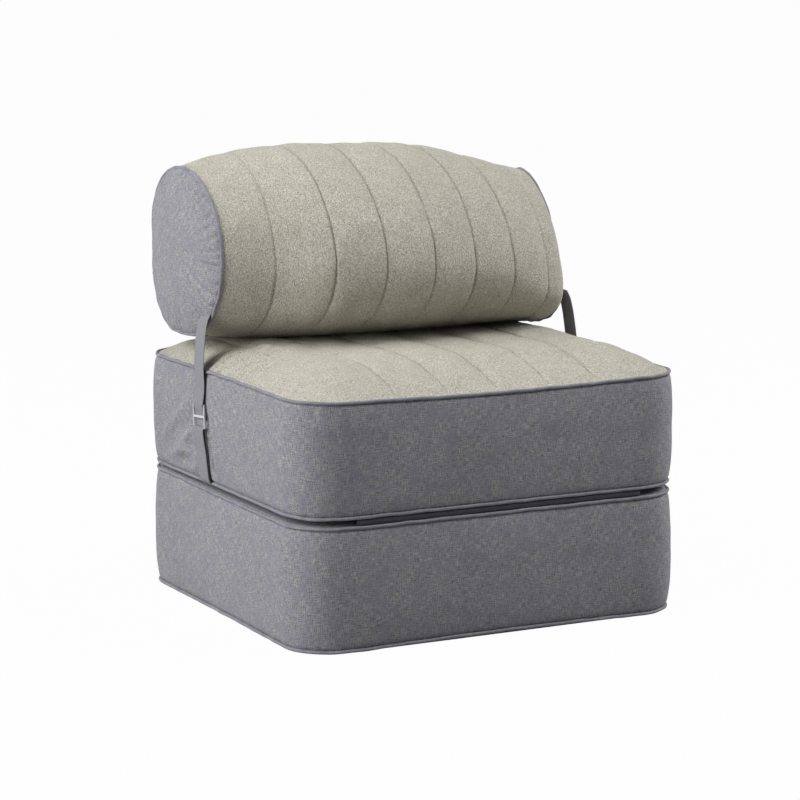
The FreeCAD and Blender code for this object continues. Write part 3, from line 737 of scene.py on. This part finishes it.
def seat_wrinkles(x, y):
    """The plush folds: each a valley with a low ridge on both sides."""
    total = np.zeros_like(x)
    for first, second, third, width, depth in plush_folds:
        gap = np.full_like(x, 1.0)
        for start, end in ((first, second), (second, third)):
            run = np.array(end) - np.array(start)
            length = np.hypot(*run)
            run /= length
            share = np.clip(((x - start[0]) * run[0] + (y - start[1]) * run[1]) / length, 0, 1)
            off_x = x - start[0] - share * length * run[0]
            off_y = y - start[1] - share * length * run[1]
            gap = np.minimum(gap, np.hypot(off_x, off_y))
        valley = np.exp(-((gap / width) ** 2))
        ridges = np.exp(-(((gap - 2.3 * width) / (1.1 * width)) ** 2))
        total += depth * (0.45 * ridges - valley)
    return total


def channel_places(first, last, steps):
    """Places along a quilted cover in channel widths, close together at the stitched lines."""
    even = np.linspace(first, last, int(round((last - first) * steps)) + 1)
    return even + 0.60 * np.sin(tau * (even - 0.5)) / tau


def seat_top_cover():
    inner = channel_places(-3, 3, 26) * seat_stitch_pitch
    angles = np.linspace(0, math.pi / 2, 32)[1:]
    start = 3 * seat_stitch_pitch
    outer = start + (half_width - start) * np.sin(angles)
    columns = np.concatenate([-outer[::-1], inner, outer])
    x, y, reach = rounded_rows(columns, 250, 0.0022)
    solid = np.stack([x, y, np.full_like(x, seat_top)], 2)
    inside = smooth(np.minimum(half_width - np.abs(x), reach - np.abs(y)) / 0.03)
    uneven = 0.0010 * waves(solid, 0.030, 31) + 0.0012 * waves(solid, 0.08, 32)
    rise = seat_surface(x, y, reach) + uneven * inside + seat_wrinkles(x, y)
    shift = seat_rim(x, y)
    upper = seat_top + seat_lip + rise + shift
    lower = seat_top - panel_depth + shift * 0.8
    cover = closed_panel("seat_plush_top", x, y, upper, lower)
    piece = place(cover, "seat", "greige_plush", "seat_quilted_top")
    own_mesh(piece)


# The backrest bolster

rest_channels = 8
rest_pitch = 2 * cover_half_length / rest_channels
rest_puff = 0.0026
rest_end_puff = 0.0016
rest_groove = 0.0021
rest_seam_width = 0.0019

# Sizes of the bolster's section in millimetres, at shares of its half length: y of the foremost
# place, its height, the top, y of the ridge, y where the sole begins, and the sole's height.
rest_sizes = (
    (-1.000, 12, 591, 729, 177, 162, 452),
    (-0.750, -17, 576, 752, 166, 172, 439),
    (-0.500, -73, 582, 763, 142, 158, 438),
    (-0.250, -92, 576, 763, 138, 154, 438),
    (0.000, -102, 577, 761, 137, 150, 438),
    (0.250, -86, 568, 754, 144, 153, 438),
    (0.500, -68, 551, 736, 147, 158, 438),
    (0.750, -36, 525, 714, 153, 160, 437),
    (0.880, -6, 507, 704, 172, 170, 434),
    (1.000, 69, 490, 697, 215, 190, 429),
)

# The back of the section keeps its place: y where the sole ends, the height where the back begins
# and how far below the top it ends.
rest_sole_back = 0.205
rest_back_low = 0.5578
rest_back_drop = 0.101


def along_sizes(share, column):
    """One size of the section, run smoothly through its set values."""
    places = np.array([row[0] for row in rest_sizes])
    values = np.array([row[column] for row in rest_sizes]) / 1000
    slopes = np.gradient(values, places)
    slopes[0] = (values[1] - values[0]) / (places[1] - places[0])
    slopes[-1] = (values[-1] - values[-2]) / (places[-1] - places[-2])
    k = np.clip(np.searchsorted(places, share, "right") - 1, 0, len(places) - 2)
    width = places[k + 1] - places[k]
    t = (share - places[k]) / width
    return (
        (2 * t ** 3 - 3 * t ** 2 + 1) * values[k]
        + (t ** 3 - 2 * t ** 2 + t) * width * slopes[k]
        + (3 * t ** 2 - 2 * t ** 3) * values[k + 1]
        + (t ** 3 - t ** 2) * width * slopes[k + 1]
    )


def straight(start, end, out, count):
    """Points on a straight stretch of the section, and the outward direction there."""
    share = np.arange(count) / count
    y, z = (first[:, None] + (last - first)[:, None] * share for first, last in zip(start, end))
    return y, z, np.full_like(y, out[0]), np.full_like(y, out[1])


def quarter(centre, reach, first, count, slant=1.0):
    """The same on a quarter oval; slant over 1 flattens it towards its chord."""
    angle = math.radians(first) + np.arange(count) / count * math.pi / 2
    slant = np.broadcast_to(slant, reach[0].shape)[:, None]
    points = []
    outward = []
    for middle, half, turn in zip(centre, reach, (np.cos(angle), np.sin(angle))):
        points.append(middle[:, None] + half[:, None] * (np.sign(turn) * np.abs(turn) ** slant))
        outward.append(np.sign(turn) * np.abs(turn) ** (2 - slant) / np.abs(half)[:, None])
    length = np.hypot(*outward)
    return points[0], points[1], outward[0] / length, outward[1] / length


def rest_profile(x, counts=(18, 22, 14, 28, 52, 52)):
    """Points round the section at each x, and the outward direction there: arrays (x, round, 2)."""
    share = np.asarray(x, float) / cover_half_length
    front, nose, top, ridge_y, sole_front, sole = (along_sizes(share, column) for column in range(1, 7))
    sole_back = np.full_like(top, rest_sole_back)
    back_low = np.full_like(top, rest_back_low)
    back = np.full_like(top, rest_back)
    back_high = top - rest_back_drop
    slant = 1 + 0.11 * smooth((share + 1) / 0.4)
    parts = (
        straight((sole_front, sole), (sole_back, sole), (0, -1), counts[0]),
        quarter((sole_back, back_low), (back - sole_back, back_low - sole), -90, counts[1]),
        straight((back, back_low), (back, back_high), (1, 0), counts[2]),
        quarter((ridge_y, back_high), (back - ridge_y, top - back_high), 0, counts[3]),
        quarter((ridge_y, nose), (ridge_y - front, top - nose), 90, counts[4], slant),
        quarter((sole_front, nose), (sole_front - front, nose - sole), 180, counts[5]),
    )
    y, z, out_y, out_z = (np.concatenate(column, 1) for column in zip(*parts))
    return np.stack([y, z], 2), np.stack([out_y, out_z], 2)


def section_run(points):
    """Distance round each section, from its first point."""
    return np.array([run_along(np.vstack([ring, ring[:1]])) for ring in points])


def at_x(x, section):
    """Points in space from a section's (y, z) and the x of each."""
    return np.stack([np.broadcast_to(x, section.shape[:2]), section[..., 0], section[..., 1]], 2)


def backrest_plush_cover():
    columns = channel_places(-rest_channels / 2, rest_channels / 2, 24) * rest_pitch
    section, normal = rest_profile(columns)
    run = section_run(section)
    solid = at_x(columns[:, None], section)
    x = solid[..., 0]
    from_line = from_stitching(x, rest_pitch)
    end_gap = cover_half_length - np.abs(x)
    at_end = smooth(end_gap / 0.012)
    quilted = smooth((normal[..., 0] * -0.6 + normal[..., 1] * 0.5 + 0.75) / 0.5)
    puff = rest_puff * channel_arch(2 * from_line / rest_pitch) - 0.0008
    end_puff = rest_end_puff * smooth(end_gap / 0.03) - 0.0006
    puff = np.where(end_gap < rest_pitch, np.maximum(puff, end_puff), puff)
    groove = -rest_groove * np.exp(-((from_line / rest_seam_width) ** 2)) * at_end
    offset = (puff + groove) * (0.35 + 0.65 * quilted)
    offset += 0.0008 * (waves(solid, 0.030, 41) + waves(solid, 0.09, 42)) * at_end
    flat = np.maximum(-normal[..., 1], 0) ** 6
    offset *= 1 - 0.8 * flat
    tape = "backrest_zip_tape"
    offset += (np.minimum(offset, tape_face(tape) - rest_back) - offset) * tape_bed(tape, solid)
    outward = at_x(0, normal)
    outer = solid + outward * offset[..., None]
    inner = solid - outward * 0.004
    points = np.concatenate([outer, inner[::-1]], 0)
    long = np.concatenate([columns, 2 * columns[-1] - columns[::-1], [3 * cover_half_length]])
    both = np.concatenate([run, run[::-1], run[:1]], 0)
    uv = np.stack([np.broadcast_to(long[:, None], both.shape), both], 2)
    shell = Shell()
    shell.grid(points, uv, (True, True))
    piece = place(shell.build("backrest_plush_cover"), "backrest", "greige_plush", "backrest_cover")


def rest_filling(name, share, end_gap, slot, node, seed):
    """A layer of the bolster's filling: the section drawn in to a share of its size."""
    reach = cover_half_length - end_gap
    columns = np.linspace(-reach, reach, 60)
    section, _ = rest_profile(columns, (8, 10, 8, 12, 16, 16))
    centre = np.stack([0.5 * (section[..., 0].min(1) + 0.06 + section[..., 0].max(1)),
                       0.5 * (section[..., 1].min(1) + section[..., 1].max(1))], 1)[:, None]
    ends = 1 - 0.06 * (np.abs(columns) / reach)[:, None, None] ** 12
    drawn = centre + (section - centre) * share * ends
    points = at_x(columns[:, None], drawn)
    points = points + 0.0006 * waves(points, 0.03, seed)[..., None]
    run = section_run(drawn)
    uv = np.stack([np.broadcast_to(columns[:, None], run.shape), run], 2)
    place(closed_tube(name, points, uv), "backrest", slot, node)


def end_cap(name, side, node, seed):
    """The woven end of the bolster: domed, with gathers that run in from its seam."""
    rings = 40
    x = np.array([side * cover_half_length])
    section, _ = rest_profile(x, (16, 24, 14, 40, 56, 56))
    edge = section[0]
    centre = (edge.min(0) + edge.max(0)) / 2
    run = section_run(section)[0]
    length = run[-1]
    share = np.linspace(0, 0.96, rings)
    scale = 1 - share
    spread = centre + (edge - centre)[None] * scale[:, None, None]
    inward = np.linalg.norm(edge - centre, axis=1)[None, :] * share[:, None]
    dome = (1 - scale ** 2.6) ** 0.75 if side < 0 else 1 - scale ** 2
    height = cap_dome * dome[:, None] * np.ones(len(edge))[None]
    along = np.broadcast_to(run[None, :-1], height.shape)
    toward_front = smooth((centre[0] - edge[:, 0]) / 0.10)[None, :]
    fine = ripple(along, length, 0.034, 0.011, seed)
    near = np.exp(-inward / 0.030) * smooth(inward / 0.004)
    height = height + (0.0008 + 0.0020 * toward_front) * fine * near
    long_fold = ripple(along, length, 0.11, 0.035, seed + 1)
    height = height + 0.0011 * long_fold * np.exp(-inward / 0.055) * smooth(inward / 0.012)
    solid = at_x(0, spread)
    height = height + 0.0010 * waves(solid, 0.05, seed + 2) * dome[:, None]
    outer = at_x(side * (rest_half_length - 0.001 + height), spread)
    inner = outer - np.array([side * 0.0035, 0, 0])
    shell = Shell()
    around = np.append(np.arange(len(edge)), 0)
    uv = spread[:, around]
    top = shell.grid(outer, uv, (False, True))
    bottom = shell.grid(inner, uv, (False, True))
    shell.skin(np.stack([top[0], bottom[0]]), np.stack([uv[0], uv[0]]), (False, True))
    for index, points in ((top, outer), (bottom, inner)):
        middle = points[-1].mean(0)
        shell.fan(index[-1], middle, uv[-1, :-1], middle[1:])
    piece = place(shell.build(name), "backrest", "grey_weave", node)


cap_cord_radius = 0.0030


def cap_cord(name, side, node, seed):
    """The piping in the seam between the cover and an end cap."""
    x = np.array([side * cover_half_length])
    section, normal = rest_profile(x, (24, 36, 20, 60, 90, 90))
    run = section_run(section)[0][:-1]
    length = section_run(section)[0][-1]
    proud = 0.0014 if side < 0 else 0.0004
    push = proud + 0.0005 * ripple(run, length, 0.09, 0.03, seed)
    centre = np.zeros((len(run), 3))
    centre[:, 0] = side * cover_half_length + 0.0006 * ripple(run, length, 0.11, 0.03, seed + 1)
    centre[:, 1:] = section[0] + normal[0] * push[:, None]
    out = np.zeros((len(run), 3))
    out[:, 1:] = normal[0]
    sideways = np.tile([1.0, 0.0, 0.0], (len(run), 1))
    shell = Shell()
    cord(shell, centre, out, sideways, cap_cord_radius)
    place(shell.build(name), "backrest", "grey_piping", node)


# Straps

strap_lean = math.tan(math.radians(5))
strap_width = 0.040
strap_thickness = 0.0016


def smooth_line(points, step):
    """A dense line through given points, rounded between them."""
    points = np.asarray(points, float)
    padded = np.vstack([2 * points[0] - points[1], points, 2 * points[-1] - points[-2]])
    made = []
    for k in range(1, len(padded) - 2):
        a, b, c, d = padded[k - 1:k + 3]
        count = max(2, int(np.ceil(np.linalg.norm(c - b) / step)))
        t = (np.arange(count) / count)[:, None]
        made.append(0.5 * (2 * b + (c - a) * t + (2 * a - 5 * b + 4 * c - d) * t ** 2
                           + (3 * b - a - 3 * c + d) * t ** 3))
    made.append(points[-1:])
    return np.concatenate(made)


def square_to(line):
    """The direction square to a flat line of points, at each of them."""
    tangent = np.gradient(line, axis=0)
    tangent /= np.linalg.norm(tangent, axis=1)[:, None]
    return np.stack([tangent[:, 1], -tangent[:, 0]], 1)


def strap(name, body, side, route, node):
    """A flat webbing strap along a route of (x, z) points, leaning as it hangs."""
    line = smooth_line(np.array(route) / 1000, 0.003)
    out = square_to(line)
    across = np.linspace(-1, 1, 15)
    half = strap_thickness / 2
    belly = np.sqrt(np.clip(1 - np.abs(across) ** 8, 0, 1)) * half
    loop_across = np.concatenate([across, across[::-1][1:-1]])
    loop_out = np.concatenate([belly, -belly[::-1][1:-1]])
    x, z = (line[:, None] + out[:, None] * loop_out[:, None]).transpose(2, 0, 1)
    aside = loop_across * strap_width / 2
    y = strap_middle_y + (z - seat_top) * strap_lean + aside[None]
    points = np.stack([side * x, y, z], 2)
    uv = grid_uv(np.append(aside, aside[0]), run_along(line)).transpose(1, 0, 2)
    return place(closed_tube(name, points, uv), body, "grey_webbing", node)


# The straps' routes on the left, as (distance from the middle, z) in millimetres
upper_route = (
    (341, 496.8), (348, 481), (353.4, 452), (357.2, 415), (357.8, 402), (357.6, 392),
    (358, 375.5), (360.6, 358), (362.6, 349.6), (362.4, 344.7), (360, 336), (358.2, 329.8),
    (358, 323.5),
)
lower_route = (
    (352.6, 219), (354.8, 226), (356.6, 245), (357.8, 275), (358.2, 295), (358.6, 303),
    (360.8, 310.6), (363.4, 309), (364, 303), (363, 290), (360.6, 270), (358.9, 245),
    (357, 226), (354.8, 219),
)


def straps():
    for name, side in (("left", -1), ("right", 1)):
        upper = strap(name + "_upper_webbing", "backrest", side, upper_route, name + "_upper_strap")
        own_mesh(upper)
        lower = strap(name + "_lower_webbing", "seat", side, lower_route, name + "_lower_strap")


# Hinge cloths at the two folds, their sections as (y, z) in millimetres

fold_strip_route = (
    (-324.8, 204.6), (-327.6, 207.0), (-328.3, 210.0), (-327.6, 213.0), (-324.8, 215.4),
)
back_flap_route = (
    (330.6, 397.2), (330.0, 408.0), (318.0, 426.0), (292.0, 448.0), (265.0, 467.0),
)


def hinge_cloth(name, node, route, half_length):
    """A thin dark strip of cloth along x whose section follows a route of (y, z) points."""
    line = smooth_line(np.array(route) / 1000, 0.0035)
    out = square_to(line) * 0.0006
    across = np.linspace(-half_length, half_length, 90)
    run = run_along(line)
    both = np.concatenate([line + out, (line - out)[::-1]])
    bumps = 0.0003 * np.cos(across * 190)[None, :]
    y = both[:, 0][:, None] + bumps
    z = both[:, 1][:, None] + 0 * bumps
    points = np.stack([np.broadcast_to(across[None], y.shape), y, z], 2)
    climb = np.concatenate([run, 2 * run[-1] - run[::-1], [2 * run[-1]]])
    tube = closed_tube(name, points.transpose(1, 0, 2), grid_uv(climb, across).transpose(1, 0, 2))
    piece = dress(tube, "dark_weave", node)
    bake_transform(piece)


# Zip teeth


tooth_pitch = 0.0026
tooth_reach = 0.0019
tooth_thickness = 0.0008
tooth_half_width = 0.00075
tooth_end_gap = 0.004

# Half a tooth's outline from its root on: shares of its length and of its half width
tooth_shape = ((0.0, 1.0), (0.5, 1.0), (0.85, 0.75), (1.0, 0.0), (0.85, -0.75), (0.5, -1.0), (0.0, -1.0))


def zip_teeth(body):
    """Two rows of interlocked teeth down the middle of a zip tape at the back."""
    low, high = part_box(body + "_zip_tape")
    middle = (low.z + high.z) / 2
    shell = Shell()
    for number in range(int((high.x - low.x - 2 * tooth_end_gap) / tooth_pitch)):
        side = 1 if number % 2 else -1
        x = low.x + tooth_end_gap + (number + 0.5) * tooth_pitch
        root = middle - side * tooth_reach * 0.95
        ring = [
            (x + tooth_half_width * across, root + side * 1.9 * tooth_reach * share)
            for share, across in tooth_shape
        ]
        levels = (high.y + tooth_thickness, high.y - 0.0003)
        points = np.array([[(px, y, pz) for px, pz in ring] for y in levels])
        uv = np.zeros((2, len(ring) + 1, 2))
        shell.closed_tube(points, uv)
    place(shell.build(body + "_zip_teeth"), body, "dark_metal")


# Floor, light and camera


room_light = 0.08
floor_reach = 60.0
light_centre = Vector((0, 0, 0.35))
light_distance = 4.0


def seen_directly(tree):
    """1 for rays from the camera, a mirror or a glass, and 0 for light that spreads."""
    rays = tree.nodes.new("ShaderNodeLightPath")
    seen = rays.outputs["Is Camera Ray"]
    for kind in ("Is Glossy Ray", "Is Transmission Ray"):
        either = tree.nodes.new("ShaderNodeMath")
        either.operation = "MAXIMUM"
        tree.links.new(seen, either.inputs[0])
        tree.links.new(rays.outputs[kind], either.inputs[1])
        seen = either.outputs[0]
    return seen


def white_room():
    """A world that looks white and gives only a little light."""
    world = bpy.data.worlds.new("studio")
    bpy.context.scene.world = world
    world.use_nodes = True
    tree = world.node_tree
    background = tree.nodes["Background"]
    background.inputs["Color"].default_value = (1, 1, 1, 1)
    strength = tree.nodes.new("ShaderNodeMapRange")
    strength.inputs["To Min"].default_value = room_light
    strength.inputs["To Max"].default_value = 1.0
    tree.links.new(seen_directly(tree), strength.inputs["Value"])
    tree.links.new(strength.outputs[0], background.inputs["Strength"])


def pale_floor():
    """A floor that looks white, takes the object's shadow and throws back little light."""
    corners = [(x * floor_reach, y * floor_reach, 0) for x, y in ((-1, -1), (1, -1), (1, 1), (-1, 1))]
    mesh = bpy.data.meshes.new("floor")
    mesh.from_pydata(corners, [], [(0, 1, 2, 3)])
    floor = linked("floor", mesh)
    ground = Finish("pale_floor", roughness=1.0, specular_ior_level=0.0)
    ground.surface.inputs["Base Color"].default_value = (0.32, 0.32, 0.32, 1)
    glow = ground.node("ShaderNodeEmission", {"Strength": 1.0}).outputs[0]
    share = ground.math("MULTIPLY", seen_directly(ground.tree), 0.98)
    mixed = ground.node("ShaderNodeMixShader", {0: share, 1: ground.surface.outputs[0], 2: glow})
    ground.tree.links.new(mixed.outputs[0], ground.tree.nodes["Material Output"].inputs["Surface"])
    floor.data.materials.append(ground.material)


def lamp(name, direction, size, power):
    """A large round lamp that looks at the object from one direction."""
    light = bpy.data.lights.new(name, "AREA")
    light.shape = "DISK"
    light.size = size
    light.energy = power
    piece = linked(name, light)
    direction = Vector(direction).normalized()
    piece.location = light_centre + direction * light_distance
    piece.rotation_euler = (-direction).to_track_quat("-Z", "Y").to_euler()


def camera(eye, target, focal_length):
    """The photograph's camera: where it stands, what it looks at and its lens."""
    bpy.context.scene.view_settings.view_transform = "Standard"
    lens = bpy.data.cameras.new("photo_camera")
    lens.lens = focal_length
    lens.sensor_width = 36.0
    lens.clip_end = 200
    piece = linked("photo_camera", lens)
    piece.location = eye
    piece.rotation_euler = (target - eye).to_track_quat("-Z", "Y").to_euler()
    bpy.context.scene.camera = piece


def blocks():
    side_cover("base_side_cover", "base", base_bottom, base_top, hem_rise, mouth_below, level,
               "base_border", 11)
    side_cover("seat_side_cover", "seat", seat_bottom, seat_top, mouth, seat_rim, seat_folds,
               "seat_border", 21)
    seam_cord("base_bottom_cord", "base", base_bottom, hem_rise, "base_bottom_piping", 51)
    seam_cord("base_top_cord", "base", base_top, mouth_below, "base_top_piping", 53)
    seam_cord("seat_bottom_cord", "seat", seat_bottom, mouth, "seat_bottom_piping", 55)
    seam_cord("seat_top_cord", "seat", seat_top, seat_rim, "seat_top_piping", 57)
    flat_cover("base_top_cover", "base", base_top, 1, "grey_weave", "base_top_panel", 61, mouth_below)
    flat_cover("seat_bottom_cover", "seat", seat_bottom, -1, "grey_weave", "seat_bottom_panel", 63, mouth)
    flat_cover("base_bottom_cover", "base", base_bottom, -1, "dark_weave", "base_bottom_panel", 65,
               level, bulge=0, depth=0)


def dress_kept_nodes():
    """Every piece that keeps its CAD shape gets the finish of its slot."""
    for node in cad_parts.values():
        if node.hide_render:
            continue
        slot = node.data.materials[0].name.split(".")[0]
        node.data.materials.clear()
        node.data.materials.append(finishes[slot])


blocks()
seat_top_cover()
backrest_plush_cover()
for name, side, seed in (("left", -1, 71), ("right", 1, 75)):
    end_cap(name + "_end_gusset", side, name + "_end_cap", seed)
rest_filling("backrest_wadding_wrap", 0.90, 0.012, "wadding", "backrest_wadding", 91)
rest_filling("backrest_foam_block", 0.74, 0.016, "foam", "backrest_foam_core", 93)
for name, side, seed in (("left", -1, 81), ("right", 1, 83)):
    cap_cord(name + "_end_cord", side, name + "_cap_piping", seed)
straps()
hinge_cloth("fold_strip_cloth", "fold_strip", fold_strip_route, 0.260)
hinge_cloth("back_flap_cloth", "back_flap", back_flap_route, 0.240)
foam_block("base_foam_slab", "base", "foam", "base_foam_core", 95)
foam_block("seat_foam_slab", "seat", "foam", "seat_foam_core", 96)
comfort_pad = foam_block("seat_comfort_pad", "seat", "foam", "seat_comfort_layer", 97)
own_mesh(comfort_pad)
for body in ("base", "seat", "backrest"):
    zip_teeth(body)
dress_kept_nodes()
white_room()
pale_floor()
lamp("key_light", (-0.86, 0.02, 0.50), 4.8, 212)
lamp("right_light", (0.66, -0.26, 0.68), 3.0, 140)
camera(Vector((-2.2096, -4.2709, 1.1561)), Vector((-0.0154, 0.0, 0.3367)), focal_length=129.23)
